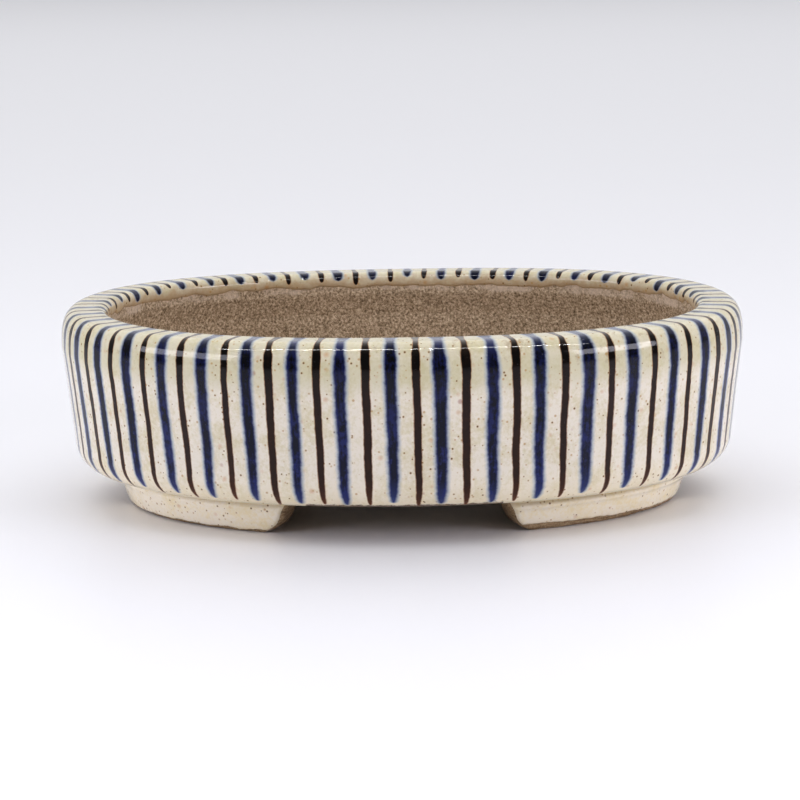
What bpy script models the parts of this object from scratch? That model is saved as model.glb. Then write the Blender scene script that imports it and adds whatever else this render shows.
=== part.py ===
# Oval bonsai pot, hand built in stoneware and glazed outside. Metres, +Z up.
# Origin: centre of the plan oval, on the surface that the feet stand on. +X runs along the long axis.
# Every outline is given as an inset from the widest oval and a height, and swept round the plan.

import math

import bmesh
import bpy

# Driving dimensions
LENGTH = 0.200
WIDTH = 0.156
HEIGHT = 0.057
PLAN_POWER = 2.08  # 2 is an ellipse, more is squarer
STATIONS = 72  # columns of faces round the oval
FOOT_STATIONS = 14  # columns of faces along a foot

# Body: a wall that leans in towards the bottom, under a rounded lip that turns inwards
UNDERSIDE = 0.0103  # height of the body's underside over the ground
FLOOR_TOP = 0.0190
WALL_LEAN = 0.0030  # inset of the wall where the bottom corner begins
CORNER_INSET = 0.0084
CORNER_RISE = 0.0086
LIP_ROUND_INSET = 0.0055
LIP_ROUND_RISE = 0.0105
LIP_POWER = 2.8  # squareness of the lip's outer rounding
LIP_WIDTH = 0.0137
LIP_NOSE_RADIUS = 0.0026  # rounding of the lip's inner edge
LIP_UNDERCUT = 0.0125  # depth at which the lip has run out into the inner wall
INNER_WALL_INSET = 0.0115
JOINT_INSET = 0.0132  # where the wall is luted to the edge of the floor slab
COVE = 0.0030  # sloping run of clay between the wall and the floor

# Drainage holes
HOLE_RADIUS = 0.008
HOLE_SPACING = 0.080

# Glaze
GLAZE = 0.0008
GLAZE_INSIDE = 0.0034  # how far the glaze runs down inside the lip

# Feet
FOOT_TOP_INSET = 0.0158
FOOT_BOTTOM_INSET = 0.0183
FOOT_TOP_BACK = 0.0290
FOOT_BOTTOM_BACK = 0.0270
FRONT_GAP_HALF = 0.0281  # half the gap between two feet on a long side, at the top
END_GAP_HALF = 0.0120  # half the gap at an end of the oval, at the top
FOOT_END_SLOPE = 0.0050
FOOT_END_ROUND = 0.0026
BARE_STRIP = 0.0018  # unglazed clay round the bottom of a foot

GAP = 0.0003  # clearance between neighbouring solids


def material(name, colour, roughness):
    made = bpy.data.materials.new(name)
    made.use_nodes = True
    shader = made.node_tree.nodes["Principled BSDF"]
    shader.inputs["Base Color"].default_value = (*colour, 1.0)
    shader.inputs["Roughness"].default_value = roughness
    return made


def plan_point(angle, inset):
    """A point of the plan oval at this angle, moved inwards along the oval's normal."""
    cos, sin = math.cos(angle), math.sin(angle)
    power = 2 / PLAN_POWER
    x = math.copysign(abs(cos) ** power, cos) * LENGTH / 2
    y = math.copysign(abs(sin) ** power, sin) * WIDTH / 2
    rise = PLAN_POWER - 1
    normal_x = math.copysign(abs(2 * x / LENGTH) ** rise, x) / LENGTH
    normal_y = math.copysign(abs(2 * y / WIDTH) ** rise, y) / WIDTH
    size = math.hypot(normal_x, normal_y)
    return x - inset * normal_x / size, y - inset * normal_y / size


def quarter_turn(count):
    return [math.pi / 2 * step / (count - 1) for step in range(count)]


def outer_profile():
    """The glazed surface as (inset, height): bottom corner, wall, lip and a strip inside it."""
    points = []
    for turn in quarter_turn(5):
        inset = WALL_LEAN + CORNER_INSET * (1 - math.sin(turn))
        points.append((inset, UNDERSIDE + CORNER_RISE * (1 - math.cos(turn))))
    for turn in quarter_turn(6):
        inset = LIP_ROUND_INSET * (1 - math.cos(turn) ** (2 / LIP_POWER))
        rise = LIP_ROUND_RISE * math.sin(turn) ** (2 / LIP_POWER)
        points.append((inset, HEIGHT - LIP_ROUND_RISE + rise))
    nose = LIP_WIDTH - LIP_NOSE_RADIUS
    for turn in quarter_turn(4):
        inset = nose + LIP_NOSE_RADIUS * math.sin(turn)
        points.append((inset, HEIGHT - LIP_NOSE_RADIUS * (1 - math.cos(turn))))
    points.append((LIP_WIDTH, HEIGHT - LIP_NOSE_RADIUS - GLAZE_INSIDE))
    return points


def sunk(profile, depth):
    """The profile moved into the clay by this depth, along its own normals."""
    moved = []
    for index, (inset, height) in enumerate(profile):
        before = profile[max(index - 1, 0)]
        after = profile[min(index + 1, len(profile) - 1)]
        run, rise = after[0] - before[0], after[1] - before[1]
        size = math.hypot(run, rise)
        moved.append((inset + depth * rise / size, height - depth * run / size))
    return moved


def add_object(name, bm, finish):
    mesh = bpy.data.meshes.new(name)
    bmesh.ops.recalc_face_normals(bm, faces=bm.faces)
    bm.to_mesh(mesh)
    bm.free()
    mesh.materials.append(finish)
    mesh.shade_smooth()
    mesh.set_sharp_from_angle(angle=math.radians(40))
    made = bpy.data.objects.new(name, mesh)
    bpy.context.scene.collection.objects.link(made)
    return made


def swept_ring(name, section, finish):
    """A closed section of (inset, height) points carried once round the oval."""
    bm = bmesh.new()
    rings = []
    for station in range(STATIONS):
        angle = 2 * math.pi * station / STATIONS
        rings.append([bm.verts.new((*plan_point(angle, inset), z)) for inset, z in section])
    for station, ring in enumerate(rings):
        following = rings[(station + 1) % STATIONS]
        for index in range(len(section)):
            after = (index + 1) % len(section)
            bm.faces.new((ring[index], following[index], following[after], ring[after]))
    return add_object(name, bm, finish)


def stacked_block(name, layers, finish):
    """A block lofted through closed outlines, each (list of plan points, height), bottom first."""
    bm = bmesh.new()
    rings = [[bm.verts.new((x, y, z)) for x, y in outline] for outline, z in layers]
    for lower, upper in zip(rings, rings[1:]):
        for index, vert in enumerate(lower):
            after = (index + 1) % len(lower)
            bm.faces.new((vert, lower[after], upper[after], upper[index]))
    bm.faces.new(rings[0])
    bm.faces.new(rings[-1])
    return add_object(name, bm, finish)


def build_wall(clay):
    under_glaze = sunk(outer_profile(), GLAZE + GAP)
    inner_face = [
        (INNER_WALL_INSET, HEIGHT - LIP_UNDERCUT),
        (INNER_WALL_INSET, FLOOR_TOP + COVE),
        (JOINT_INSET, FLOOR_TOP),
        (JOINT_INSET, UNDERSIDE),
    ]
    return swept_ring("wall", under_glaze + inner_face, clay)


def build_wall_glaze(glaze):
    outside = outer_profile()
    inside = sunk(outside, GLAZE)
    return swept_ring("wall_glaze", outside + inside[::-1], glaze)


def build_floor(clay):
    outline = [
        plan_point(2 * math.pi * station / STATIONS, JOINT_INSET + GAP)
        for station in range(STATIONS)
    ]
    slab = stacked_block("floor_slab", [(outline, UNDERSIDE), (outline, FLOOR_TOP)], clay)
    for side in (-1, 1):
        bpy.ops.mesh.primitive_cylinder_add(
            vertices=32,
            radius=HOLE_RADIUS,
            depth=4 * (FLOOR_TOP - UNDERSIDE),
            location=(side * HOLE_SPACING / 2, 0, (FLOOR_TOP + UNDERSIDE) / 2),
        )
        cutter = bpy.context.object
        cutter.name = f"drain_cutter_{side}"
        cutter.hide_render = True
        cutter.display_type = "WIRE"
        hole = slab.modifiers.new(cutter.name, "BOOLEAN")
        hole.operation = "DIFFERENCE"
        hole.object = cutter
    return slab


def foot_height():
    return UNDERSIDE - GAP


def foot_face(level):
    """Inset of a foot's outer face. level runs from 0 at the ground to 1 at the top."""
    lean = FOOT_BOTTOM_INSET - FOOT_TOP_INSET
    return FOOT_BOTTOM_INSET - lean * math.sin(level * math.pi / 2)


def foot_back(level):
    return FOOT_BOTTOM_BACK + (FOOT_TOP_BACK - FOOT_BOTTOM_BACK) * level


def foot_angles(level, inset):
    """Plan angles where a foot of the +X +Y quarter begins and ends at this level."""
    cut = FOOT_END_SLOPE * (1 - level) + FOOT_END_ROUND * (1 - level) ** 6
    from_end = (END_GAP_HALF + cut) / (WIDTH / 2 - inset)
    from_front = (FRONT_GAP_HALF + cut) / (LENGTH / 2 - inset)
    power = PLAN_POWER / 2
    return math.asin(from_end**power), math.acos(from_front**power)


def foot_layer(level, face, back, signs):
    """Outline of a foot at this level: along its face, then back along its inner side."""
    along = range(FOOT_STATIONS + 1)
    outline = []
    for inset, order in ((face, along), (back, reversed(along))):
        begin, end = foot_angles(level, inset)
        for step in order:
            x, y = plan_point(begin + (end - begin) * step / FOOT_STATIONS, inset)
            outline.append((signs[0] * x, signs[1] * y))
    return outline, level * foot_height()


def build_foot(name, signs, clay):
    levels = (0, 0.05, 0.18, 0.4, 0.7, 1)
    covered = GLAZE + GAP
    bare = BARE_STRIP / foot_height()
    layers = []
    for level in levels:
        face = foot_face(level) + (covered if level > bare / 2 else 0)
        layers.append(foot_layer(level, face, foot_back(level), signs))
    return stacked_block(name, layers, clay)


def build_foot_glaze(name, signs, glaze):
    levels = (BARE_STRIP / foot_height(), 0.4, 0.7, 1)
    layers = []
    for level in levels:
        face = foot_face(level)
        layers.append(foot_layer(level, face, face + GLAZE, signs))
    return stacked_block(name, layers, glaze)


def main():
    for obj in list(bpy.data.objects):
        bpy.data.objects.remove(obj)
    clay = material("unglazed stoneware", (0.30, 0.21, 0.14), 0.9)
    glaze = material("cream glaze with brushed stripes", (0.74, 0.66, 0.50), 0.15)
    build_wall(clay)
    build_floor(clay)
    build_wall_glaze(glaze)
    for side, x in (("left", -1), ("right", 1)):
        for row, y in (("front", -1), ("back", 1)):
            build_foot(f"foot_{row}_{side}", (x, y), clay)
            build_foot_glaze(f"foot_glaze_{row}_{side}", (x, y), glaze)


main()
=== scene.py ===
import math
from functools import partial
import bmesh
import bpy
import numpy as np
from mathutils import Matrix, Vector, geometry, noise


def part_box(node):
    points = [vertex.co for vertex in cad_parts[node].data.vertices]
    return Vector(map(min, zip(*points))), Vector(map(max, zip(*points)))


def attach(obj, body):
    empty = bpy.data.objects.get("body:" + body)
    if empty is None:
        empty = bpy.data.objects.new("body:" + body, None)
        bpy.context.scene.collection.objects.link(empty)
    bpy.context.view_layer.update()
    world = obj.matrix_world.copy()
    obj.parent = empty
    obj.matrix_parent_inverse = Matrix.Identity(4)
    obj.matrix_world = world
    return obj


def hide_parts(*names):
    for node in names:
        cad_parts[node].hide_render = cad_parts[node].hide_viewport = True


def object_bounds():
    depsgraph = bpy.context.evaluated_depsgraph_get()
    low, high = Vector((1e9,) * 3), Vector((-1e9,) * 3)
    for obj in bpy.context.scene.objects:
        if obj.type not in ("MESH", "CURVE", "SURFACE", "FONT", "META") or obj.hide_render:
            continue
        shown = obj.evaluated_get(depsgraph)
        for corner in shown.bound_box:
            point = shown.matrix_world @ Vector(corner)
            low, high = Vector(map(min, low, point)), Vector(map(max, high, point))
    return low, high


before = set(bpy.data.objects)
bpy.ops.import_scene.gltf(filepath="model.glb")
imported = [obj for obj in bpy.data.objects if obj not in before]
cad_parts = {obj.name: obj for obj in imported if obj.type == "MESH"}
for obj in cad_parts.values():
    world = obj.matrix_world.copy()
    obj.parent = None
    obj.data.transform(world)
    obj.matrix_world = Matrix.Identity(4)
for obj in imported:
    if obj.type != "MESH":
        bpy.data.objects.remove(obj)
cadLow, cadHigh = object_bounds()
scene = bpy.context.scene
mm = 0.001
noise.seed_set(7)  # the same roughness at each run
print("frame loaded")


# Sizes of the pot in metres. An inset is measured inwards from the widest oval.
pot = {
    "length": cadHigh.x - cadLow.x,
    "width": cadHigh.y - cadLow.y,
    "height": cadHigh.z,
    "planPower": 2.08,  # 2 would be an ellipse, more is squarer
    "underside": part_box("floor_slab")[0].z,
    "floorTop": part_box("floor_slab")[1].z,
    "wallLean": 3.0 * mm,
    "cornerInset": 8.4 * mm,
    "cornerRise": 8.6 * mm,
    "lipInset": 5.5 * mm,
    "lipRise": 10.5 * mm,
    "lipPower": 2.8,
    "lipWidth": 13.7 * mm,
    "noseRadius": 2.6 * mm,
    "glazeInside": 1.8 * mm,
    "undercut": 12.5 * mm,
    "innerWall": 11.5 * mm,
    "joint": 13.2 * mm,
    "cove": 3.0 * mm,
    "coat": 0.5 * mm,
    "stations": 600,
    "arcSteps": 24,
}


# sRGB hex to linear RGBA
def linear(hexColour):
    parts = [int(hexColour[i:i + 2], 16) / 255 for i in (1, 3, 5)]
    return [p / 12.92 if p <= 0.04045 else ((p + 0.055) / 1.055) ** 2.4 for p in parts] + [1.0]


eased = {"interpolation_type": "SMOOTHSTEP"}


# Sets a node's inputs, by name or in order. Each takes a value, a socket, or a node for its live output.
def feed(tree, node, inputs):
    for key, value in inputs.items() if isinstance(inputs, dict) else enumerate(inputs):
        socket = node.inputs[key] if isinstance(key, int) else next(
            s for s in node.inputs if s.enabled and s.name == key)
        if isinstance(value, bpy.types.Node):
            value = next(s for s in value.outputs if s.enabled)
        if isinstance(value, bpy.types.NodeSocket):
            tree.links.new(value, socket)
        else:
            socket.default_value = value
    return node


# Adds a node of a kind that any family of nodes has, with its settings and inputs. A word after a
# colon is its operation.
def addNode(tree, kind, inputs=None, **settings):
    kind, _, operation = kind.partition(":")
    families = ("Node", "ShaderNode", "GeometryNode", "FunctionNode")
    node = tree.nodes.new(next(f + kind for f in families if hasattr(bpy.types, f + kind)))
    if operation:
        settings["operation"] = operation
    for name, value in settings.items():
        setattr(node, name, value)
    return feed(tree, node, inputs or {})


# Plan and profile
def planPoint(angle, inset):
    cos, sin = math.cos(angle), math.sin(angle)
    power = 2 / pot["planPower"]
    x = math.copysign(abs(cos) ** power, cos) * pot["length"] / 2
    y = math.copysign(abs(sin) ** power, sin) * pot["width"] / 2
    rise = pot["planPower"] - 1
    nx = math.copysign(abs(2 * x / pot["length"]) ** rise, x) / pot["length"]
    ny = math.copysign(abs(2 * y / pot["width"]) ** rise, y) / pot["width"]
    size = math.hypot(nx, ny)
    return x - inset * nx / size, y - inset * ny / size


# The glazed outside as (inset, height): bottom corner, wall, lip, nose and a strip inside it
def outsideProfile():
    quarter = [math.pi / 2 * step / pot["arcSteps"] for step in range(pot["arcSteps"] + 1)]
    points = []
    for turn in quarter:
        inset = pot["wallLean"] + pot["cornerInset"] * (1 - math.sin(turn))
        points.append((inset, pot["underside"] + pot["cornerRise"] * (1 - math.cos(turn))))
    for turn in quarter:
        inset = pot["lipInset"] * (1 - max(math.cos(turn), 0) ** (2 / pot["lipPower"]))
        rise = pot["lipRise"] * math.sin(turn) ** (2 / pot["lipPower"])
        points.append((inset, pot["height"] - pot["lipRise"] + rise))
    nose = pot["lipWidth"] - pot["noseRadius"]
    for turn in quarter:
        inset = nose + pot["noseRadius"] * math.sin(turn)
        points.append((inset, pot["height"] - pot["noseRadius"] * (1 - math.cos(turn))))
    points.append((pot["lipWidth"], pot["height"] - pot["noseRadius"] - pot["glazeInside"]))
    return points


# Length run along the line from its start
def runAlong(line):
    return np.concatenate([[0], np.cumsum(np.hypot(*np.diff(line, axis=0).T))])


# The same line with points about this far apart
def resampled(points, spacing):
    line = np.array(points)
    run = runAlong(line)
    at = np.linspace(0, run[-1], max(round(run[-1] / spacing), 1) + 1)
    return np.stack([np.interp(at, run, line[:, k]) for k in (0, 1)], 1)


# The line moved into the clay along its own normals
def sunk(line, depth):
    run = np.gradient(line, axis=0)
    size = np.hypot(*run.T)
    return np.stack([line[:, 0] + depth * run[:, 1] / size, line[:, 1] - depth * run[:, 0] / size], 1)


# The tree that carries a section round the oval
sweep = {
    "planPoints": 1440,
    "strokes": 86,
    # brush spacing round the rim isn't even: stroke number as a wave of the way round from the front
    "strokeWave": {"even": -0.197, "sin1": -0.864, "cos1": 0.595, "sin2": 0.235, "cos2": 0.062},
    # the rim isn't level either, in millimetres
    "rimWave": {"even": -0.03, "cos1": 0.12, "cos2": -0.22, "sin2": -0.05, "cos3": 0.36, "sin3": 0.06},
    "swellSize": 26 * mm,
    "rippleSize": 7 * mm,
    "edgeWaveSize": 11 * mm,
    "otherWave": 0.31,  # metres along the noise to a wave that has nothing in common with the first
    "waveHeights": (0.45, 0.95),  # the rim wave grows between these shares of the height
    "seam": 0.002 * mm,
}


def waveField(add, turn, wave):
    total = None
    for name, weight in wave.items():
        if name == "even":
            term = add("Value").outputs[0]
            term.default_value = weight
        else:
            turns = add("Math:MULTIPLY", [turn, float(name[3:])])
            kind = "SINE" if name.startswith("sin") else "COSINE"
            swing = add("Math", [turns], operation=kind)
            term = add("Math:MULTIPLY", [swing, weight]).outputs[0]
        total = term if total is None else add("Math", [total, term]).outputs[0]
    return total


def buildSweepTree():
    tree = bpy.data.node_groups.new("carryRoundTheOval", "GeometryNodeTree")
    add = partial(addNode, tree)
    face = tree.interface
    face.new_socket("Geometry", in_out="INPUT", socket_type="NodeSocketGeometry")
    for name in ("Length", "Width", "Plan Power", "Swell", "Ripple", "Grain", "Grain Size", "Edge Wave"):
        face.new_socket(name, in_out="INPUT", socket_type="NodeSocketFloat")
    face.new_socket("Stations", in_out="INPUT", socket_type="NodeSocketInt")
    face.new_socket("Material", in_out="INPUT", socket_type="NodeSocketMaterial")
    face.new_socket("Geometry", in_out="OUTPUT", socket_type="NodeSocketGeometry")
    given = add("GroupInput").outputs

    # the oval, starting at the back so that its join is out of sight
    line = add("MeshLine", {"Count": sweep["planPoints"]})
    index = add("InputIndex")
    step = 2 * math.pi / sweep["planPoints"]
    angle = add("Math:MULTIPLY_ADD", [index, step, math.pi / 2])
    power = add("Math:DIVIDE", [2.0, given["Plan Power"]])
    sides = []
    for kind, size in (("COSINE", "Length"), ("SINE", "Width")):
        swing = add("Math", [angle], operation=kind)
        unsigned = add("Math:ABSOLUTE", [swing])
        curved = add("Math:POWER", [unsigned, power])
        sign = add("Math:SIGN", [swing])
        signed = add("Math:MULTIPLY", [curved, sign])
        half = add("Math:MULTIPLY", [given[size], 0.5])
        sides.append(add("Math:MULTIPLY", [signed, half]))
    ovalPoint = add("CombineXYZ", [sides[0], sides[1]])
    placed = add("SetPosition", {"Geometry": line, "Position": ovalPoint})
    oval = add("MeshToCurve", {"Mesh": placed})
    oval = add("SetSplineCyclic", {"Geometry": oval, "Cyclic": True})

    # a grid with one row for each point of the section and one column for each station
    rows = add("AttributeDomainSize", [given["Geometry"]])
    rowsClosed = add("Math", [rows.outputs["Point Count"], 1.0])
    columns = add("Math", [given["Stations"], 1.0])
    grid = add("MeshGrid", {"Vertices X": columns, "Vertices Y": rowsClosed})
    column = add("IntegerMath:DIVIDE_FLOOR", [index, rowsClosed])
    rowOpen = add("IntegerMath:MODULO", [index, rowsClosed])
    row = add("IntegerMath:MODULO", [rowOpen, rows.outputs["Point Count"]])
    share = add("Math:DIVIDE", [column, given["Stations"]])
    onOval = add("SampleCurve", {"Curves": oval, "Factor": share})
    tangent = add("SeparateXYZ", [onOval.outputs["Tangent"]])
    turned = add("Math:MULTIPLY", [tangent.outputs[0], -1.0])
    outward = add("CombineXYZ", [tangent.outputs[1], turned])
    outward = add("VectorMath:NORMALIZE", [outward])

    # what the section says at this row
    place = add("InputPosition")
    sectionPoint = add(
        "SampleIndex", {"Geometry": given["Geometry"], "Value": place, "Index": row},
        data_type="FLOAT_VECTOR", domain="POINT")
    sectionAt = add("SeparateXYZ", [sectionPoint])
    told = {}
    for name in ("run", "insideEdge", "bottomEdge", "rough"):
        value = add("InputNamedAttribute", {"Name": name})
        told[name] = add(
            "SampleIndex", {"Geometry": given["Geometry"], "Value": value, "Index": row})

    # the free edges of a coat wander
    waves = []
    for shift in (0.0, sweep["otherWave"]):
        moved = add("VectorMath", [onOval.outputs["Position"], (0, 0, shift)])
        wave = add("TexNoise", {
            "Vector": moved, "Scale": 1 / sweep["edgeWaveSize"], "Detail": 3.0, "Roughness": 0.6})
        centred = add("Math:SUBTRACT", [wave.outputs[0], 0.5])
        waves.append(add("Math:MULTIPLY", [centred, given["Edge Wave"]]))
    insideWave = add("Math:MULTIPLY", [waves[0], told["insideEdge"]])
    bottomWave = add("Math:MULTIPLY", [waves[1], told["bottomEdge"]])
    inset = add("Math", [sectionAt.outputs[0], bottomWave])
    inset = add("Math:MULTIPLY", [inset, -1.0])
    sideways = add("VectorMath:SCALE", {0: outward, "Scale": inset.outputs[0]})
    height = add("Math", [sectionAt.outputs[2], insideWave])
    upward = add("CombineXYZ", {2: height})
    flat = add("VectorMath", [onOval.outputs["Position"], sideways])
    true = add("VectorMath", [flat, upward])

    # hand throwing: the rim isn't level and the wall swells a little
    turn = add("Math:MULTIPLY_ADD", [share, 2 * math.pi, -math.pi])
    rimWave = waveField(add, turn, sweep["rimWave"])
    begin, full = (share * pot["height"] for share in sweep["waveHeights"])
    nearRim = add("MapRange", [sectionAt.outputs[2], begin, full, 0.0, mm], **eased)
    lift = add("Math:MULTIPLY", [rimWave, nearRim])
    lifted = add("CombineXYZ", {2: lift})
    bulge = None
    for name, size, detail in (("Swell", sweep["swellSize"], 0.0), ("Ripple", sweep["rippleSize"], 1.0)):
        swell = add("TexNoise", {"Vector": true, "Scale": 1 / size, "Detail": detail})
        centred = add("Math:SUBTRACT", [swell.outputs[0], 0.5])
        part = add("Math:MULTIPLY", [centred, given[name]])
        bulge = part if bulge is None else add("Math", [bulge, part])
    pushed = add("VectorMath:SCALE", {0: outward, "Scale": bulge.outputs[0]})
    handmade = add("VectorMath", [true, lifted])
    handmade = add("VectorMath", [handmade, pushed])

    # open coarse clay is rough all over
    grainScale = add("Math:DIVIDE", [1.0, given["Grain Size"]])
    grain = add("TexNoise", {"Vector": true, "Scale": grainScale})
    jag = add("VectorMath:SUBTRACT", [grain.outputs["Color"], (0.5, 0.5, 0.5)])
    much = add("Math:MULTIPLY", [told["rough"], given["Grain"]])
    jag = add("VectorMath:SCALE", {0: jag, "Scale": much.outputs[0]})
    final = add("VectorMath", [handmade, jag])

    # stroke number and run along the section become the UV map
    evenly = add("Math:MULTIPLY", [turn, sweep["strokes"] / (2 * math.pi)])
    strokeWave = waveField(add, turn, sweep["strokeWave"])
    stroke = add("Math", [evenly, strokeWave])
    noted = grid.outputs["Mesh"]
    for name, value in (("stroke", stroke), ("run", told["run"])):
        noted = add("StoreNamedAttribute", {"Geometry": noted, "Name": name, "Value": value})
    shaped = add("SetPosition", {"Geometry": noted, "Position": final})
    uv = add("CombineXYZ", [
        add("InputNamedAttribute", {"Name": name})
        for name in ("stroke", "run")])
    mapped = add(
        "StoreNamedAttribute", {"Geometry": shaped, "Name": "UVMap", "Value": uv},
        data_type="FLOAT2", domain="CORNER")
    closed = add("MergeByDistance", {"Geometry": mapped, "Distance": sweep["seam"]})
    for name in ("stroke", "run"):
        closed = add("RemoveAttribute", {"Geometry": closed, "Name": name})
    smooth = add("SetShadeSmooth", {"Geometry": closed})
    real = add("RealizeInstances", {"Geometry": smooth})
    painted = add("SetMaterial", {"Geometry": real, "Material": given["Material"]})
    add("GroupOutput", [painted])
    return tree


def linked(name, mesh):
    made = bpy.data.objects.new(name, mesh)
    scene.collection.objects.link(made)
    return made


# Sets a Geometry Nodes modifier's inputs by identifier, then keeps the result as a plain mesh
def grown(name, mesh, tree, values):
    seed = linked(name + "Seed", mesh)
    modifier = seed.modifiers.new("grow", "NODES")
    modifier.node_group = tree
    for item in tree.interface.items_tree:
        if item.in_out == "INPUT" and item.name in values:
            modifier[item.identifier] = values[item.name]
    graph = bpy.context.evaluated_depsgraph_get()
    plain = bpy.data.meshes.new_from_object(
        seed.evaluated_get(graph), preserve_all_data_layers=True, depsgraph=graph)
    bpy.data.objects.remove(seed)
    plain.name = name
    return linked(name, plain)


def sectionMesh(name, line, told):
    mesh = bpy.data.meshes.new(name)
    mesh.from_pydata([(inset, 0, height) for inset, height in line], [], [])
    for key, values in told.items():
        mesh.attributes.new(key, "FLOAT", "POINT").data.foreach_set("value", np.array(values, np.float32))
    return mesh


def sweptPiece(name, line, told, finish, values):
    given = {
        "Length": pot["length"], "Width": pot["width"], "Plan Power": pot["planPower"],
        "Stations": pot["stations"], "Grain Size": mm, "Material": finish,
    }
    given.update(values)
    return grown(name, sectionMesh(name + "Section", line, told), sweepTree, given)


# Links a finished shell as a smooth piece
def shell(name, bm, finish):
    bmesh.ops.recalc_face_normals(bm, faces=bm.faces)
    mesh = bpy.data.meshes.new(name)
    bm.to_mesh(mesh)
    bm.free()
    mesh.shade_smooth()
    mesh.materials.append(finish)
    return linked(name, mesh)


# Materials
def newMaterial(name):
    made = bpy.data.materials.new(name)
    made.use_nodes = True
    return made, partial(addNode, made.node_tree)


# Feeds a material's own shader
def finishMaterial(made, inputs):
    feed(made.node_tree, made.node_tree.nodes["Principled BSDF"], inputs)
    return made


# Object coordinates in millimetres, so that a Scale of 1 is one pattern cell for each millimetre
def inMillimetres(add):
    place = add("TexCoord")
    return add("VectorMath:SCALE", {0: place.outputs["Object"], "Scale": 1 / mm})


# Lays tints over a colour in turn, each through its own mask
def layered(add, colour, layers):
    for mask, tint in layers:
        shade = linear(tint) if isinstance(tint, str) else tint
        colour = add("Mix", {"Factor": mask, "A": colour, "B": shade}, data_type="RGBA")
    return colour


# Fits a node's colour ramp to (place, sRGB hex) pairs
def setRamp(node, stops):
    ramp = node.color_ramp
    while len(ramp.elements) < len(stops):
        ramp.elements.new(0.5)
    for element, (place, colour) in zip(ramp.elements, stops):
        element.position = place
        element.color = linear(colour)
    return node


# Cream feldspar glaze, dipped over stoneware and fired glossy: warm white, cloudy and yellower
# where it lies thick, with iron specks that have melted up through it.
# Sizes and places are in millimetres. A fade gives where it begins and ends, and its strength there.
creamGlaze = {
    "body": {"white": "#ebe3d5", "warm": "#dbd1b4", "pooled": "#c0ba8e"},
    # painted light: the feet's cream is painted lighter than the body's to make up for the weak light that
    # reaches the feet
    "foot": {"white": "#fff6e4", "warm": "#f9ebc8", "pooled": "#c2aa6c"},
    # clouds and mottling: size, detail, and the noise faded into warmth
    "clouds": ((8.0, 3.0, (0.42, 0.66, 0.0, 0.8)), (0.9, 2.0, (0.35, 0.7, -0.35, 0.45))),
    # ochre spots, red spots, then iron specks with their rings:
    # cell, share of cells that hold one, radius, soft edge, strength, colour
    "specks": (
        (3.6, 0.4, 1.1, 0.8, 0.4, "#c27f1c"), (5.04, 0.05, 1.0, 0.5, 0.5, "#9c5644"),
        (1.6, 0.85, 0.5, 0.25, 0.65, "#b98f4e"), (1.6, 0.48, 0.29, 0.12, 0.85, "#40261a")),
    "waveScale": 0.32,
    "waveHeight": 0.02,
    "pitScale": 0.7,
    "pitShare": 0.7,
    "pit": (0.05, 0.16, -0.08, 0.0),
    "low": "#fff1cf",
    "lowFade": (1.5, 17.0, 0.6, 0.0),
    "underLip": 44.5,
    "underLipFade": (1.0, 9.0, 0.5, 0.0),
    # painted shade: the lip top is darkened with the pooled colour against the light from above
    "paintedLipTopShadeFade": (44.0, 49.0, 0.0, 0.42),
    "smudge": "#8e6c42",
    "smudgeScale": 0.24,
    "smudgeFade": (0.57, 0.7, 0.0, 0.5),
    "smudgedLip": 51.0,
    "smudgedLipFade": (4.0, 9.0, 1.0, 0.15),
    "overClay": "#bfa482",
    "overClayScale": 0.35,
    "overClayWaver": 9.0,
    "overClayFade": (65.5, 71.0, 0.0, 0.8),
    "wiped": "#5a4433",
    "wipedTo": 27.0,
    "wipedWaver": 3.0,
    "wipedFade": (5.8, 6.6, 0.9, 0.0),
    "footPoolFade": (7.5, 10.5, 0.0, 0.8),
    "roughness": 0.07,
    "footRoughness": 0.13,
    "ior": 1.5,
    "specular": 0.27,
}


# Builds the glaze's own colour from where it is and how far it has pooled
def creamColour(add, place, pooling, shades):
    warmths = []
    for size, detail, fade in creamGlaze["clouds"]:
        cloud = add("TexNoise", {
            "Vector": place, "Scale": 1 / size, "Detail": detail, "Roughness": 0.6})
        warmths.append(add("MapRange", [cloud, *fade]))
    warmth = add("Math", warmths, use_clamp=True)
    return layered(
        add, linear(shades["white"]), ((warmth, shades["warm"]), (pooling, shades["pooled"])))


def addSpecks(add, place, colour):
    for cell, share, radius, soft, strength, tint in creamGlaze["specks"]:
        cells = add("TexVoronoi", {"Vector": place, "Scale": 1 / cell})
        chance = add("SeparateColor", [cells.outputs["Color"]])
        chosen = add("Math:LESS_THAN", [chance.outputs[0], share])
        size = add("MapRange", [chance.outputs[1], 0.0, 1.0, 0.5 * radius / cell, radius / cell])
        inner = add("Math:SUBTRACT", [size, soft / cell])
        spot = add("MapRange", [cells.outputs["Distance"], inner, size, strength, 0.0])
        here = add("Math:MULTIPLY", [spot, chosen])
        colour = layered(add, colour, ((here, tint),))
    return colour


# Finishes a fired glaze, whose waviness and pinholes are a bumped normal
def glazed(made, add, place, colour, roughness):
    skin = add("TexNoise", {"Vector": place, "Scale": creamGlaze["waveScale"]})
    holes = add("TexVoronoi", {"Vector": place, "Scale": creamGlaze["pitScale"]})
    chance = add("SeparateColor", [holes.outputs["Color"]])
    chosen = add("Math:LESS_THAN", [chance.outputs[0], creamGlaze["pitShare"]])
    pit = add("MapRange", [holes.outputs["Distance"], *creamGlaze["pit"]])
    pits = add("Math:MULTIPLY", [pit, chosen])
    height = add("Math:MULTIPLY_ADD", [skin, creamGlaze["waveHeight"], pits])
    return finishMaterial(made, {
        "Base Color": colour, "Normal": add("Bump", {"Height": height, "Distance": mm}),
        "Roughness": roughness, "IOR": creamGlaze["ior"], "Specular IOR Level": creamGlaze["specular"]})


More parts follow.
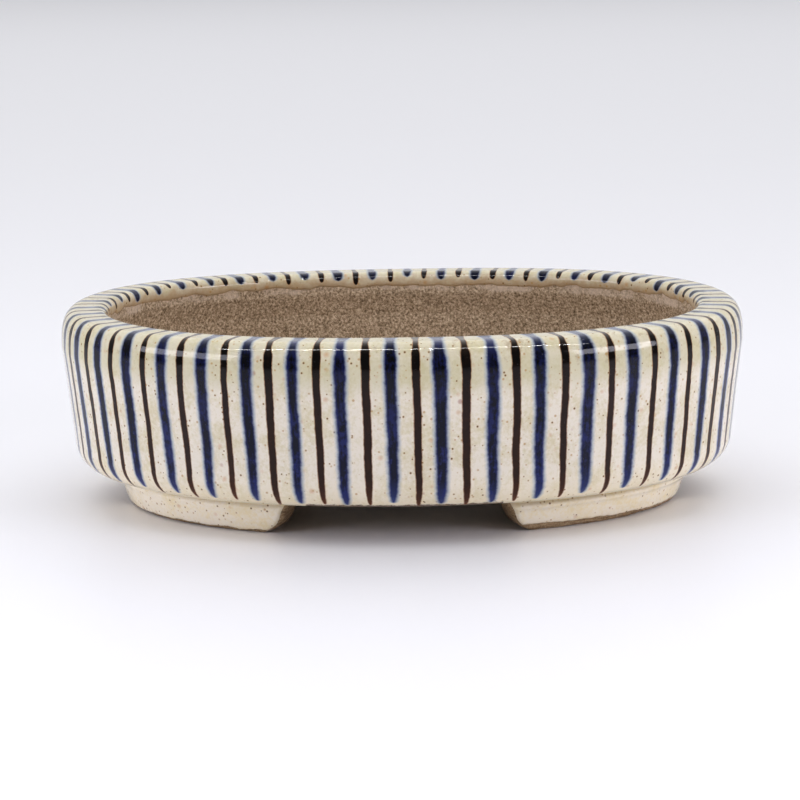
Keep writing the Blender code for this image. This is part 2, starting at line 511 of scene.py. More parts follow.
# Cobalt and iron brush strokes under the glaze: cobalt bleeds into the glaze with a pale halo and
# lightens where the brush ran dry, iron stays crisp with a rust edge.
# Lengths are in millimetres. A stroke's half widths and colours are given by run along the section,
# from the bottom of the wall, over the lip, to the inside.
strokes = {
    "longest": 68.0,
    "widest": 3.0,
    "beyond": 1.2,  # a half width this far below zero keeps even the halo away
    "lean": 0.0105,
    "upright": 30,  # run at which the lean is nothing
    "jitter": 0.6,
    "wanders": ((15.0, 1.0), (4.0, 0.3)),
    "nib": {"cobalt": 0.6, "iron": 0.3},
    "nibSize": 1.5,
    "tipJitter": 2.4,
    "broad": (0.9, 1.1),
    "half": {
        "cobalt": (
            (0, -1.2), (4.4, -1.2), (5.6, 0.3), (8, 0.95), (11, 1.25), (17, 1.4), (25, 1.5),
            (40, 1.55), (45, 1.75), (48, 1.65), (50.5, 1.3), (53, 1.15), (57.5, 1.25), (60, 1.7),
            (62, 1.6), (63.8, 0.7), (65.2, -1.2), (68, -1.2)),
        "iron": (
            (0, -1.2), (3.2, -1.2), (4.6, 0.2), (7, 0.55), (11, 0.78), (16, 0.86), (24, 0.92),
            (40, 0.95), (45, 1.05), (48.5, 1.1), (50.5, 0.8), (53, 0.66), (57.5, 0.75), (60, 1.05),
            (62, 1.0), (63.8, 0.3), (64.8, -1.2), (68, -1.2)),
    },
    # brush, then how far outside its edge a layer starts to fade and is gone, and how strong it is
    "edges": {
        "halo": ("cobalt", 0.0, 1.1, 0.75), "cobalt": ("cobalt", -0.5, 0.42, 1.0),
        "rust": ("iron", 0.0, 0.32, 0.75), "iron": ("iron", -0.14, 0.12, 1.0),
    },
    # colours by share of the longest run; the paler greys from 0.75 to 0.85 lie on the lip top, partly
    # thinner pigment there and partly painted reflection of the bright surroundings
    "cobalt": (
        (0.07, "#4f5f94"), (0.12, "#2c3768"), (0.2, "#12162f"), (0.45, "#0d1022"), (0.6, "#0c0f20"),
        (0.66, "#06070f"), (0.705, "#07080f"), (0.75, "#262a3c"), (0.79, "#535870"),
        (0.85, "#7c8192"), (0.885, "#10142a"), (1.0, "#0b0e1e")),
    "iron": (
        (0.06, "#6b3a1e"), (0.12, "#452618"), (0.2, "#2e1b13"), (0.5, "#271611"), (0.62, "#1b100c"),
        (0.67, "#0d0908"), (0.71, "#0d0908"), (0.75, "#2b231d"), (0.79, "#504840"),
        (0.85, "#766e64"), (0.885, "#16100e"), (1.0, "#130d0b")),
    "cobaltBright": "#293270",
    "cobaltEdge": "#2a3674",
    "halo": "#a5b1bf",
    "ironEdge": "#96561f",
    # brush hairs leave streaks down a stroke, and the colour is watery in places
    "streakStretch": 0.16,
    "streakScale": 1.3,
    "blotScale": 0.8,
    "wateryScale": 0.11,
    "ownDilution": 0.16,
    "brightFade": (1.5, 1.85, 0.0, 0.85),
    "lowDownFade": (14.0, 42.0, 1.0, 0.4),
    "ironBright": 0.05,
    "thinFade": (-0.75, -0.05, 0.0, 0.8),
    "thinWallFade": (46.0, 51.0, 1.0, 0.25),
}


# How far outside the edge of this brush's stroke, in millimetres
def beyondEdge(add, brush, run, away, broad, nib):
    half = add("FloatCurve", {"Value": run})
    curve = half.mapping.curves[0]
    widths = strokes["half"][brush]
    while len(curve.points) < len(widths):
        curve.points.new(0.5, 0.5)
    for point, (at, width) in zip(curve.points, widths):
        point.location = (at / strokes["longest"], (width + strokes["beyond"]) / strokes["widest"])
        point.handle_type = "AUTO_CLAMPED"
    half.mapping.update()
    half = add("Math:MULTIPLY_ADD", [half, strokes["widest"], -strokes["beyond"]])
    half = add("Math:MULTIPLY", [half, broad])
    much = strokes["nib"][brush]
    ragged = add("Math:MULTIPLY_ADD", [nib, much, -much / 2])
    edge = add("Math:SUBTRACT", [away, half])
    return add("Math", [edge, ragged])


def strokeGlazeMaterial():
    made, add = newMaterial("stripedStonewareGlaze")
    place = inMillimetres(add)
    uv = add("SeparateXYZ", [add("UVMap", uv_map="UVMap")])
    across, along = uv.outputs[0], uv.outputs[1]
    number = add("Math:ROUND", [across])
    looped = add("Math:FLOORED_MODULO", [number, float(sweep["strokes"])])
    isIron = add("Math:FLOORED_MODULO", [looped, 2.0])
    isBrush = {"iron": isIron, "cobalt": add("Math:SUBTRACT", [1.0, isIron])}
    own = add("TexWhiteNoise", {"W": looped}, noise_dimensions="1D")
    own = add("SeparateColor", [own.outputs["Color"]])

    # distance from the stroke's middle line in millimetres, with the hand's wander
    off = add("Math:SUBTRACT", [across, number])
    off = add("Math:MULTIPLY", [off, pitch / mm])
    for value, much, middle in (
            (along, strokes["lean"], strokes["upright"]), (own.outputs[0], strokes["jitter"], 0.5)):
        shift = add("Math:MULTIPLY_ADD", [value, much, -much * middle])
        off = add("Math", [off, shift])
    for size, much in strokes["wanders"]:
        bend = add("TexNoise", {"Vector": place, "Scale": 1 / size, "Detail": 1.0})
        bent = add("Math:MULTIPLY_ADD", [bend, much, -much / 2])
        off = add("Math", [off, bent])
    away = add("Math:ABSOLUTE", [off])
    nib = add("TexNoise", {"Vector": place, "Scale": 1 / strokes["nibSize"], "Roughness": 0.6})
    much = strokes["tipJitter"]
    tip = add("Math:MULTIPLY_ADD", [own.outputs[1], much, -much / 2])
    run = add("Math", [along, tip])
    run = add("Math:MULTIPLY", [run, 1 / strokes["longest"]])
    broad = add("MapRange", [own.outputs[2], 0.0, 1.0, *strokes["broad"]])
    beyond = {brush: beyondEdge(add, brush, run, away, broad, nib) for brush in strokes["half"]}
    masks = {}
    for name, (brush, near, far, much) in strokes["edges"].items():
        mask = add("MapRange", [beyond[brush], near, far, much, 0.0], **eased)
        masks[name] = add("Math:MULTIPLY", [mask, isBrush[brush]])

    # streaks and watery places
    stretched = add("Math:MULTIPLY", [along, strokes["streakStretch"]])
    streakAt = add("CombineXYZ", [off, stretched, looped])
    streak = add("TexNoise", {"Vector": streakAt, "Scale": strokes["streakScale"]})
    blot = add("TexNoise", {"Vector": place, "Scale": strokes["blotScale"], "Roughness": 0.65})
    uneven = add("Math", [streak, blot])
    watery = add("TexNoise", {"Vector": place, "Scale": strokes["wateryScale"], "Detail": 1.0})
    uneven = add("Math", [uneven, watery])
    dilute = add("Math:MULTIPLY_ADD", [own.outputs[1], strokes["ownDilution"], uneven])
    bright = add("MapRange", [dilute, *strokes["brightFade"]])
    lowDown = add("MapRange", [along, *strokes["lowDownFade"]])
    bright = add("Math:MULTIPLY", [bright, lowDown])
    thin = add("MapRange", [beyond["cobalt"], *strokes["thinFade"]])
    onWall = add("MapRange", [along, *strokes["thinWallFade"]])
    thin = add("Math:MULTIPLY", [thin, onWall])
    # each ramp's pale greys on the lip top are partly painted reflection
    cobalt = setRamp(add("ValToRGB", {"Fac": run}), strokes["cobalt"])
    cobalt = layered(
        add, cobalt, ((bright, strokes["cobaltBright"]), (thin, strokes["cobaltEdge"])))
    iron = setRamp(add("ValToRGB", {"Fac": run}), strokes["iron"])
    rusty = add("Math:MULTIPLY", [bright, strokes["ironBright"]])
    iron = layered(add, iron, ((rusty, strokes["ironEdge"]),))

    # the glaze slides down, lies lighter at the bottom corner and gathers under the lip; the lip top is
    # darkened with the pooled colour as painted shade
    lower = add("MapRange", [along, *creamGlaze["lowFade"]], **eased)
    near = {}
    for name in ("underLip", "smudgedLip"):
        gap = add("Math:SUBTRACT", [along, creamGlaze[name]])
        gap = add("Math:ABSOLUTE", [gap])
        near[name] = add("MapRange", [gap, *creamGlaze[name + "Fade"]], **eased)
    paintedLipTopShade = add("MapRange", [along, *creamGlaze["paintedLipTopShadeFade"]])
    # pooled glaze under the lip, together with the painted shade on the lip top
    pooled = add("Math:MAXIMUM", [near["underLip"], paintedLipTopShade])
    # kiln smudges along the lip
    smudge = add("TexNoise", {
        "Vector": place, "Scale": creamGlaze["smudgeScale"], "Detail": 5.0, "Roughness": 0.75})
    smudge = add("MapRange", [smudge, *creamGlaze["smudgeFade"]])
    smudge = add("Math:MULTIPLY", [smudge, near["smudgedLip"]])
    # inside the rim the coat thins out over the clay and browns
    stain = add("TexNoise", {
        "Vector": place, "Scale": creamGlaze["overClayScale"], "Detail": 3.0, "Roughness": 0.7})
    stain = add("Math:MULTIPLY_ADD", [stain, creamGlaze["overClayWaver"], along])
    stain = add("MapRange", [stain, *creamGlaze["overClayFade"]], **eased)
    # between the feet the bottom edge is wiped back to the clay
    sideways = add("Math:ABSOLUTE", [add("SeparateXYZ", [place])])
    between = add("Math:LESS_THAN", [sideways, creamGlaze["wipedTo"]])
    wiped = add("Math:MULTIPLY_ADD", [nib, creamGlaze["wipedWaver"], along])
    wiped = add("MapRange", [wiped, *creamGlaze["wipedFade"]])
    wiped = add("Math:MULTIPLY", [wiped, between])

    colour = creamColour(add, place, pooled, creamGlaze["body"])
    colour = layered(add, colour, (
        (lower, creamGlaze["low"]), (smudge, creamGlaze["smudge"]),
        (stain, creamGlaze["overClay"]), (wiped, creamGlaze["wiped"])))
    colour = addSpecks(add, place, colour)
    colour = layered(add, colour, (
        (masks["halo"], strokes["halo"]), (masks["cobalt"], cobalt),
        (masks["rust"], strokes["ironEdge"]), (masks["iron"], iron)))
    return glazed(made, add, place, colour, creamGlaze["roughness"])


def footGlazeMaterial():
    made, add = newMaterial("footCreamGlazePaintedLighter")
    place = inMillimetres(add)
    up = add("SeparateXYZ", [place])
    pooled = add("MapRange", [up.outputs[2], *creamGlaze["footPoolFade"]], **eased)
    # the lighter foot shades are painted light for the dimly lit feet
    colour = addSpecks(add, place, creamColour(add, place, pooled, creamGlaze["foot"]))
    return glazed(made, add, place, colour, creamGlaze["footRoughness"])


# Coarse grogged stoneware, thrown and left unglazed: brown and dry, with sand of every shade,
# and a thin wash of glaze in patches just under the rim
bareClay = {
    "grain": 0.75,
    "colours": ((0.3, "#594a38"), (0.42, "#938067"), (0.54, "#bea98f"), (0.68, "#e4d4bb")),
    "wash": "#d9c7b4",
    "patchSize": 9,
    "washHeights": (47.0, 51.0, 0.0, 1.0),
    "washFade": (0.43, 0.6, 0.0, 0.7),
    "bump": 0.25 * mm,
    "roughness": 0.92,
    "specular": 0.3,
}


def bareClayMaterial():
    made, add = newMaterial("coarseStoneware")
    place = inMillimetres(add)
    grit = add("TexNoise", {
        "Vector": place, "Scale": 1 / bareClay["grain"], "Detail": 3.0, "Roughness": 0.75})
    patch = add("TexNoise", {
        "Vector": place, "Scale": 1 / bareClay["patchSize"], "Detail": 4.0, "Roughness": 0.7})
    up = add("SeparateXYZ", [place])
    high = add("MapRange", [up.outputs[2], *bareClay["washHeights"]])
    washed = add("Math:MULTIPLY", [patch, high])
    washed = add("MapRange", [washed, *bareClay["washFade"]])
    colour = setRamp(add("ValToRGB", {"Fac": grit}), bareClay["colours"])
    colour = layered(add, colour, ((washed, bareClay["wash"]),))
    bump = add("Bump", {"Height": grit, "Distance": bareClay["bump"]})
    return finishMaterial(made, {
        "Base Color": colour, "Normal": bump, "Roughness": bareClay["roughness"],
        "Specular IOR Level": bareClay["specular"]})


# The feet's clay is trimmed with a wire and stands bare: olive brown, with fine drag lines. Its shades are
# partly the clay's own colour and partly painted lighter to make up for the shade the feet stand in
footClay = {
    "colours": ((0.3, "#5a4936"), (0.44, "#93795a"), (0.56, "#b59c7c"), (0.72, "#cdb898")),
    "drag": (0.25, 0.25, 1.6),
    "gritScale": 1.7,
    "bump": 0.3 * mm,
    "roughness": 0.85,
}


def footClayMaterial():
    made, add = newMaterial("trimmedStoneware")
    place = inMillimetres(add)
    dragged = add("VectorMath:MULTIPLY", [place, footClay["drag"]])
    lines = add("TexNoise", {"Vector": dragged, "Scale": 1.0, "Detail": 3.0, "Roughness": 0.65})
    grit = add("TexNoise", {"Vector": place, "Scale": footClay["gritScale"], "Roughness": 0.7})
    both = add("Math", [lines, grit])
    both = add("Math:MULTIPLY", [both, 0.5])
    colour = setRamp(add("ValToRGB", {"Fac": both}), footClay["colours"])
    bump = add("Bump", {"Height": both, "Distance": footClay["bump"]})
    return finishMaterial(
        made, {"Base Color": colour, "Normal": bump, "Roughness": footClay["roughness"]})


outline = [planPoint(2 * math.pi * step / 2000, 0) for step in range(2001)]
pitch = runAlong(np.array(outline))[-1] / sweep["strokes"]
sweepTree = buildSweepTree()
strokeGlaze = strokeGlazeMaterial()
plainGlaze = footGlazeMaterial()
clay = bareClayMaterial()
standClay = footClayMaterial()
print("materials made")


# The striped coat of glaze, over wall and lip and a little way inside
stripedCoat = {
    "spacing": 0.66 * mm,
    "edgeRound": 2.4 * mm,
    "hidden": 0.3 * mm,
    "edgeWave": 4.2 * mm,
    "swell": 0.5 * mm,
    "ripple": 0.1 * mm,
    "backSpacing": 2 * mm,
    "insideFrom": 63 * mm,  # runs past this waver with the inside edge
    "edgeReach": 3 * mm,
    "bottomShare": 0.4,
}
body = resampled(outsideProfile(), stripedCoat["spacing"])
bodyRun = runAlong(body)
fromEdge = np.minimum(np.minimum(bodyRun, bodyRun[-1] - bodyRun) / stripedCoat["edgeRound"], 1)
thinned = pot["coat"] * (1 - np.sqrt(1 - (1 - fromEdge) ** 2))
outside = sunk(body, thinned)
buried = sunk(body, pot["coat"] + stripedCoat["hidden"])
inside = resampled(buried[::-1], stripedCoat["backSpacing"])
section = np.concatenate([outside, inside])
sectionRun = np.concatenate([bodyRun, np.linspace(bodyRun[-1], 0, len(inside))])
glazeCoat = sweptPiece(
    "stripedGlaze", section,
    {"run": sectionRun / mm,
     "insideEdge": np.clip((sectionRun - stripedCoat["insideFrom"]) / stripedCoat["edgeReach"], 0, 1),
     "bottomEdge": np.clip(1 - sectionRun / stripedCoat["edgeReach"], 0, 1) * stripedCoat["bottomShare"],
     "rough": np.zeros(len(section))},
    strokeGlaze,
    {"Swell": stripedCoat["swell"], "Ripple": stripedCoat["ripple"], "Edge Wave": stripedCoat["edgeWave"]})
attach(glazeCoat, "root")
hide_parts("wall_glaze")
print("striped glaze made", len(glazeCoat.data.polygons))


# The clay wall under the coat, bare inside
clayRing = {
    "underCoat": 1.3 * mm,
    "bareSpacing": 0.55 * mm,
    "underSpacing": 0.9 * mm,
    "coveSteps": 6,
    "grain": 0.5 * mm,
    "grainSize": 0.9 * mm,
}
underCoat = resampled(sunk(body, pot["coat"]), clayRing["underCoat"])
cove = []
for step in range(clayRing["coveSteps"] + 1):
    turn = math.pi / 2 * step / clayRing["coveSteps"]
    cove.append((
        pot["innerWall"] + pot["cove"] * (1 - math.cos(turn)),
        pot["floorTop"] + pot["cove"] * (1 - math.sin(turn))))
bareLine = [
    tuple(underCoat[-1]),
    (pot["lipWidth"] - pot["coat"], pot["height"] - 7 * mm),
    (pot["innerWall"] + 0.7 * mm, pot["height"] - pot["undercut"] + 2 * mm),
    (pot["innerWall"], pot["height"] - pot["undercut"] - 1 * mm),
    *cove,
    (pot["innerWall"] + pot["cove"], pot["floorTop"] - 0.6 * mm),
]
bare = resampled(bareLine, clayRing["bareSpacing"])[1:]
under = resampled(
    [bare[-1], (pot["joint"] + 1 * mm, pot["underside"]), tuple(underCoat[0])],
    clayRing["underSpacing"])[1:-1]
section = np.concatenate([underCoat, bare, under])
rough = np.concatenate([np.zeros(len(underCoat)), np.ones(len(bare)), np.full(len(under), 0.5)])
nothing = np.zeros(len(section))
clayWall = sweptPiece(
    "clayWall", section,
    {"run": nothing, "insideEdge": nothing, "bottomEdge": nothing, "rough": rough},
    clay,
    {"Swell": stripedCoat["swell"], "Ripple": stripedCoat["ripple"],
     "Grain": clayRing["grain"], "Grain Size": clayRing["grainSize"]})
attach(clayWall, "root")
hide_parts("wall")
print("clay wall made", len(clayWall.data.polygons))


# The floor, with two drainage holes
floorPlate = {
    "edge": pot["innerWall"] + 1.2 * mm,
    "spacing": 1.5 * mm,
    "holeRadius": 8 * mm,
    "holeSpacing": 80 * mm,
    "holeRound": 1.6 * mm,
    "sag": 0.5 * mm,
    "rough": 0.22 * mm,
    "roughSize": 1.1 * mm,
    "stations": 220,
    "holeStations": 48,
    "rings": (0, 0.12, 0.35, 0.7, 1.2),  # round a hole, by share of its rounded edge
    "fill": 0.965,  # loose points keep inside this share of the oval
}


def buildFloor():
    stations, holeStations = floorPlate["stations"], floorPlate["holeStations"]
    points = [
        Vector(planPoint(2 * math.pi * s / stations, floorPlate["edge"])) for s in range(stations)]
    edges = [(s, (s + 1) % stations) for s in range(stations)]
    holes = [Vector((side * floorPlate["holeSpacing"] / 2, 0)) for side in (-1, 1)]
    rounds = [
        floorPlate["holeRadius"] + floorPlate["holeRound"] * share for share in floorPlate["rings"]]
    for hole in holes:
        for radius in rounds:
            first = len(points)
            points += [
                hole + radius * Vector((math.cos(turn), math.sin(turn)))
                for turn in np.linspace(0, 2 * math.pi, holeStations, endpoint=False)]
            edges += [(first + s, first + (s + 1) % holeStations) for s in range(holeStations)]
    half = (pot["length"] / 2 - floorPlate["edge"], pot["width"] / 2 - floorPlate["edge"])
    keepOff = rounds[-1] + 0.7 * floorPlate["spacing"]
    for i, x in enumerate(np.arange(-half[0], half[0], floorPlate["spacing"])):
        for y in np.arange(-half[1], half[1], floorPlate["spacing"]):
            at = Vector((x, y + (i % 2) * floorPlate["spacing"] / 2))
            filled = sum(abs(c / h) ** pot["planPower"] for c, h in zip(at, half))
            if filled < floorPlate["fill"] and all((at - hole).length > keepOff for hole in holes):
                points.append(at)
    flat, _, faces, *_ = geometry.delaunay_2d_cdt(points, edges, [], 0, 1e-7)
    bm = bmesh.new()
    layers = []
    for top in (True, False):
        verts = []
        for at in flat:
            z = pot["underside"]
            if top:
                z = pot["floorTop"] - floorPlate["sag"] * max(0, 1 - (at.length / half[1]) ** 2)
                z += floorPlate["rough"] * noise.noise(
                    Vector((at.x, at.y, 0)) / floorPlate["roughSize"])
            for hole in holes:
                near = (at - hole).length - floorPlate["holeRadius"]
                if near < floorPlate["holeRound"]:
                    bend = floorPlate["holeRound"] * (1 - math.sqrt(max(
                        0, 1 - (1 - max(near, 0) / floorPlate["holeRound"]) ** 2)))
                    z += -bend if top else bend
            verts.append(bm.verts.new((at.x, at.y, z)))
        layers.append(verts)
    for face in faces:
        middle = sum((flat[v] for v in face), Vector((0, 0))) / len(face)
        if any((middle - hole).length < floorPlate["holeRadius"] for hole in holes):
            continue
        bm.faces.new([layers[0][v] for v in face])
        bm.faces.new([layers[1][v] for v in reversed(face)])
    rims = [e for e in bm.edges if len(e.link_faces) == 1]
    bmesh.ops.bridge_loops(
        bm, edges=[e for e in rims if e.verts[0].co.to_2d().length > half[1] * 0.9])
    for hole in holes:
        rims = [
            e for e in bm.edges if len(e.link_faces) == 1
            and (e.verts[0].co.to_2d() - hole).length < floorPlate["holeRadius"] * 1.2]
        bmesh.ops.bridge_loops(bm, edges=rims)
    loose = [v for v in bm.verts if not v.link_faces]
    bmesh.ops.delete(bm, geom=loose, context="VERTS")
    return shell("floorSlab", bm, clay)


floorSlab = buildFloor()
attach(floorSlab, "root")
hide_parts("floor_slab")
print("floor made", len(floorSlab.data.polygons))


# Four feet, each a clay block with its own coat of glaze
feet = {
    "faceBottom": 18.3 * mm,
    "faceTop": 15.8 * mm,
    "backBottom": 27.0 * mm,
    "backTop": 29.0 * mm,
    "endSlope": 5.0 * mm,
    "endRound": 2.6 * mm,
    "endCurve": 0.45 * mm,
    "beadAt": 0.74,
    "beadSpread": 0.11,
    "top": pot["underside"] + 0.8 * mm,
    "edgeRound": 0.9 * mm,
    "length": 64 * mm,
    "steps": (60, 9, 12),
    "rough": 0.16 * mm,
    "fine": 1.3 * mm,
    "coarse": 6 * mm,
    "coat": 0.55 * mm,
    "coatColumns": 150,
    "coatRows": 30,
    "rowCrowding": 1.25,
    "coatHidden": 0.35 * mm,
    "coatInset": 0.012,
    "coatWave": 0.12 * mm,
    "coatWaveSize": 5 * mm,
    "drip": 0.3 * mm,
    "dripLevel": 0.3,
    "thinBottom": 0.8 * mm,
    "thinEnds": 1.1 * mm,
    "creaseFill": 3.2 * mm,
    "creaseDepth": 2.6 * mm,
    "creaseEnds": 2 * mm,
    # each foot was cut by hand: where it ends, how far its shoulder stands out, and how much clay the
    # dip left bare along its bottom, at the pot's end and at the gap
    "each": {
        "front_left": {"signs": (-1, -1), "endGap": 9.4 * mm, "frontGap": 29.9 * mm, "bead": 0.4 * mm,
                       "bare": (0.7 * mm, 0.8 * mm)},
        "front_right": {"signs": (1, -1), "endGap": 12.0 * mm, "frontGap": 26.0 * mm, "bead": 1.0 * mm,
                        "bare": (0.9 * mm, 2.0 * mm)},
        "back_left": {"signs": (-1, 1), "endGap": 12.0 * mm, "frontGap": 28.0 * mm, "bead": 0.35 * mm,
                      "bare": (1.1 * mm, 1.2 * mm)},
        "back_right": {"signs": (1, 1), "endGap": 11.4 * mm, "frontGap": 28.6 * mm, "bead": 0.4 * mm,
                       "bare": (1.2 * mm, 0.8 * mm)},
    },
}


def footFace(foot, level):
    lean = feet["faceBottom"] - feet["faceTop"]
    bead = foot["bead"] * math.exp(-((level - feet["beadAt"]) / feet["beadSpread"]) ** 2)
    return feet["faceBottom"] - lean * math.sin(min(level, 1) * math.pi / 2) - bead


# Where a foot begins and ends round the oval at this level, as plan angles of the +X +Y quarter
def footAngles(foot, level, inset):
    low = 1 - min(level, 1)
    cut = feet["endSlope"] * low + feet["endRound"] * low ** 6
    cut += feet["endCurve"] * math.sin(2 * math.pi * low)
    power = pot["planPower"] / 2
    fromEnd = (foot["endGap"] + cut) / (pot["width"] / 2 - inset)
    fromFront = (foot["frontGap"] + cut) / (pot["length"] / 2 - inset)
    return math.asin(fromEnd ** power), math.acos(fromFront ** power)


# along runs 0 to 1 from the pot's end to its middle gap
def footPoint(foot, along, height, depth):
    level = height / pot["underside"]
    begin, end = footAngles(foot, level, footFace(foot, level))
    x, y = planPoint(begin + (end - begin) * along, depth)
    return Vector((foot["signs"][0] * x, foot["signs"][1] * y, height))


def spaced(size, ends, middle):
    low = [0, 0.1, 0.3, 0.6, 1.0]
    inner = list(np.linspace(ends, size - ends, middle))[1:-1]
    return [ends * s for s in low] + inner + [size - ends * s for s in reversed(low)]


# A box's surface as a grid of quads. place(x, y, z) gives each grid point's real place.
def boxGrid(bm, sides, place):
    made = {}

    def vert(i, j, k):
        if (i, j, k) not in made:
            made[(i, j, k)] = bm.verts.new(place(sides[0][i], sides[1][j], sides[2][k]))
        return made[(i, j, k)]

    count = [len(side) - 1 for side in sides]
    for axis in range(3):
        a, b = [(1, 2), (0, 2), (0, 1)][axis]
        for end in (0, count[axis]):
            for i in range(count[a]):
                for j in range(count[b]):
                    corners = []
                    for di, dj in ((0, 0), (1, 0), (1, 1), (0, 1)):
                        at = [0, 0, 0]
                        at[axis], at[a], at[b] = end, i + di, j + dj
                        corners.append(vert(*at))
                    bm.faces.new(corners)


def buildFoot(name, foot):
    size = (feet["length"], feet["backBottom"] - feet["faceBottom"], feet["top"])
    sides = [spaced(side, feet["edgeRound"], steps) for side, steps in zip(size, feet["steps"])]

    def place(x, y, z):
        at = Vector((x, y, z))
        core = Vector(min(max(c, feet["edgeRound"]), s - feet["edgeRound"]) for c, s in zip(at, size))
        off = at - core
        if off.length > 0:
            at = core + off.normalized() * feet["edgeRound"]
        level = at.z / pot["underside"]
        face = footFace(foot, level) + feet["coat"]
        back = feet["backBottom"] + (feet["backTop"] - feet["backBottom"]) * level
        spot = footPoint(foot, at.x / size[0], at.z, face + (back - face) * at.y / size[1])
        shake = feet["rough"] * noise.noise_vector(spot / feet["fine"])
        shake += 1.5 * feet["rough"] * noise.noise_vector(spot / feet["coarse"])
        spot += shake
        spot.z = max(spot.z, 0)
        return spot

    bm = bmesh.new()
    boxGrid(bm, sides, place)
    return shell(name, bm, standClay)


# The coat lies on the foot's outer face, thins to nothing at its edges and fills the crease above
def buildFootGlaze(name, foot):
    columns, rows = feet["coatColumns"], feet["coatRows"]
    bm = bmesh.new()
    sheets = []
    for buried in (False, True):
        sheet = []
        for i in range(columns + 1):
            along = i / columns
            guide = footPoint(foot, along, feet["dripLevel"] * pot["underside"], feet["faceTop"])
            drip = noise.noise(guide / feet["coarse"]) + 0.6 * noise.noise(guide / feet["fine"])
            low = foot["bare"][0] * (1 - along) + foot["bare"][1] * along + feet["drip"] * drip
            ends = min(along, 1 - along) * feet["length"]
            inward = feet["coatInset"] + (1 - 2 * feet["coatInset"]) * along
            strip = []
            for j in range(rows + 1):
                height = low + (feet["top"] - low) * (j / rows) ** feet["rowCrowding"]
                edge = min((height - low) / feet["thinBottom"], ends / feet["thinEnds"], 1)
                thick = feet["coat"] * math.sqrt(1 - (1 - max(edge, 0)) ** 2)
                fill = max(0.0, (height - feet["top"] + feet["creaseFill"]) / feet["creaseFill"])
                thick += feet["creaseDepth"] * fill ** 3 * min(ends / feet["creaseEnds"], 1)
                depth = footFace(foot, height / pot["underside"]) + feet["coat"]
                depth += feet["coatHidden"] if buried else -thick
                spot = footPoint(foot, inward, height, depth)
                if not buried:
                    spot += feet["coatWave"] * noise.noise_vector(spot / feet["coatWaveSize"])
                strip.append(bm.verts.new(spot))
            sheet.append(strip)
        sheets.append(sheet)
    for sheet in sheets:
        for i in range(columns):
            for j in range(rows):
                bm.faces.new((sheet[i][j], sheet[i + 1][j], sheet[i + 1][j + 1], sheet[i][j + 1]))
    front, back = sheets
    for i in range(columns):
        for j in (0, rows):
            bm.faces.new((front[i][j], front[i + 1][j], back[i + 1][j], back[i][j]))
    for j in range(rows):
        for i in (0, columns):
            bm.faces.new((front[i][j], front[i][j + 1], back[i][j + 1], back[i][j]))
    return shell(name, bm, plainGlaze)


for where, foot in feet["each"].items():
    ending = where.title().replace("_", "")
    block = buildFoot("foot" + ending, foot)
    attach(block, "root")
    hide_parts("foot_" + where)
    footCoat = buildFootGlaze("footGlaze" + ending, foot)
    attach(footCoat, "root")
    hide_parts("foot_glaze_" + where)
print("feet made")


# Board, lights and camera
stageSet = {
    "radius": 8.0,
    "paper": "#f2f2f5",
    "roughness": 0.4,
    "specular": 0.25,
    "gamma": 0.88,
}


def buildStage():
    made = finishMaterial(newMaterial("whiteStudioBoard")[0], {
        "Base Color": linear(stageSet["paper"]), "Roughness": stageSet["roughness"],
        "Specular IOR Level": stageSet["specular"]})
    bm = bmesh.new()
    bmesh.ops.create_circle(bm, cap_ends=True, segments=96, radius=stageSet["radius"])
    mesh = bpy.data.meshes.new("studioBoard")
    bm.to_mesh(mesh)
    bm.free()
    mesh.materials.append(made)
    board = linked("studioBoard", mesh)


lights = {
    # direction seen from the pot: turn from the front towards +X, and rise, in degrees
    "leftSoftbox": {"turn": -64, "rise": 17, "away": 1.1, "size": (0.70, 0.24), "power": 4.25,
                    "tint": (0.88, 0.88, 1.0)},
    "rightSoftbox": {"turn": 61, "rise": 17, "away": 1.1, "size": (0.60, 0.23), "power": 4.35,
                     "tint": (0.92, 0.9, 1.0)},
    # a thin bar that only draws the glint along the lip, and a broad panel that only fills
    "glintBar": {"turn": 0, "rise": 60, "away": 1.0, "size": (1.7, 0.018), "power": 11,
                 "tint": (1, 1, 1), "glintOnly": True},
    "overheadPanel": {"turn": 0, "rise": 66, "away": 1.1, "size": (1.6, 0.8), "power": 4.7,
                      "tint": (1, 1, 1), "fillOnly": True},
    "backdropLight": {"turn": 180, "rise": 42, "away": 2.4, "size": (5.0, 3.2), "power": 27.3,
                      "tint": (0.98, 0.98, 1.0), "down": True},
}


# The surroundings that light and mirror in the glaze: brightest behind and above
sky = {
    "tint": (0.98, 0.98, 1.0),
    "towards": (0, 0.88, 0.47),
    "levels": (-0.3, 0.8, 0.19, 0.8),
}


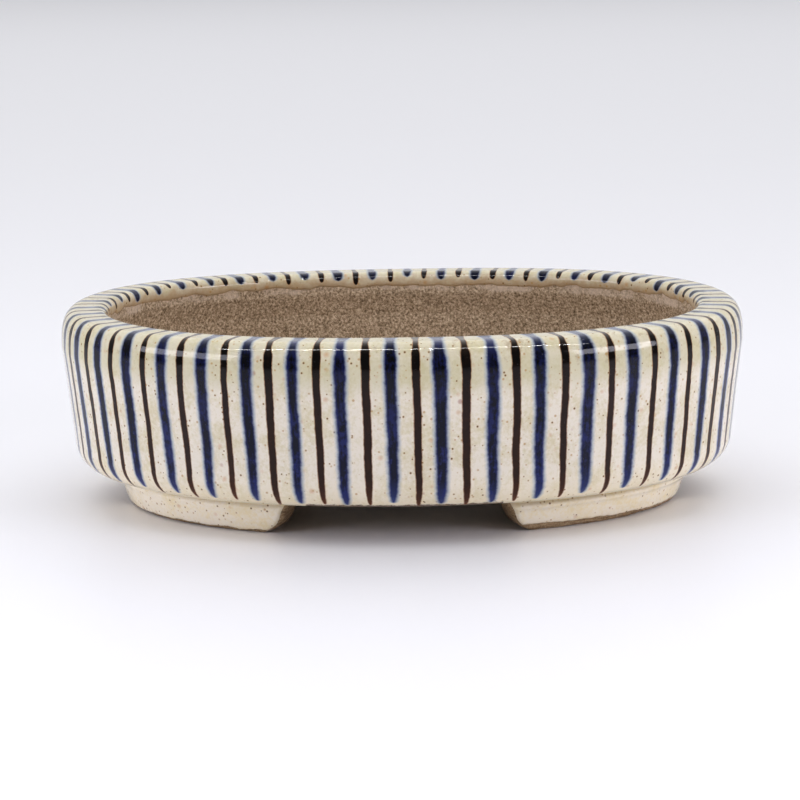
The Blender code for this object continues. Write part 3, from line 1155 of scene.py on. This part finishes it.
def buildLights():
    for name, made in lights.items():
        lamp = bpy.data.lights.new(name, "AREA")
        lamp.shape = "RECTANGLE"
        lamp.size, lamp.size_y = made["size"]
        lamp.energy = made["power"]
        lamp.color = made["tint"]
        holder = linked(name, lamp)
        turn, rise = math.radians(made["turn"]), math.radians(made["rise"])
        towards = Vector((
            math.sin(turn) * math.cos(rise), -math.cos(turn) * math.cos(rise), math.sin(rise)))
        holder.location = towards * made["away"] + Vector((0, 0, pot["height"] / 2))
        holder.visible_diffuse = not made.get("glintOnly")
        holder.visible_glossy = not made.get("fillOnly")
        if not made.get("down"):
            holder.rotation_euler = towards.to_track_quat("Z", "Y").to_euler()
    world = bpy.data.worlds.new("studio")
    scene.world = world
    world.use_nodes = True
    add = partial(addNode, world.node_tree)
    look = add("TexCoord")
    slant = add("VectorMath:DOT_PRODUCT", [look.outputs["Generated"], sky["towards"]])
    level = add("MapRange", [slant.outputs["Value"], *sky["levels"]], **eased)
    feed(world.node_tree, world.node_tree.nodes["Background"],
         {"Color": (*sky["tint"], 1.0), "Strength": level})


eye = {
    "distance": 819.4 * mm,
    "elevation": 10.67,
    "roll": -0.8,
    "lens": 124.35,
    "aimHeight": pot["height"] / 2,
    "shift": (-0.0038, -0.0050),
}


def buildCamera():
    lens = bpy.data.cameras.new("eye")
    lens.lens = eye["lens"]
    lens.sensor_width = 36
    lens.shift_x, lens.shift_y = eye["shift"]
    lens.clip_start, lens.clip_end = 0.05, 50
    camera = linked("eye", lens)
    rise, roll = math.radians(eye["elevation"]), math.radians(eye["roll"])
    ahead = Vector((0, math.cos(rise), -math.sin(rise)))
    right = Vector((1, 0, 0))
    up = right.cross(ahead)
    rolledRight = right * math.cos(roll) + up * math.sin(roll)
    rolledUp = up * math.cos(roll) - right * math.sin(roll)
    turn = Matrix((rolledRight, rolledUp, -ahead)).transposed().to_4x4()
    camera.matrix_world = Matrix.Translation(
        Vector((0, 0, eye["aimHeight"])) - ahead * eye["distance"]) @ turn
    scene.camera = camera


buildStage()
buildLights()
buildCamera()
scene.view_settings.view_transform = "Standard"
scene.view_settings.gamma = stageSet["gamma"]
print("stage made")
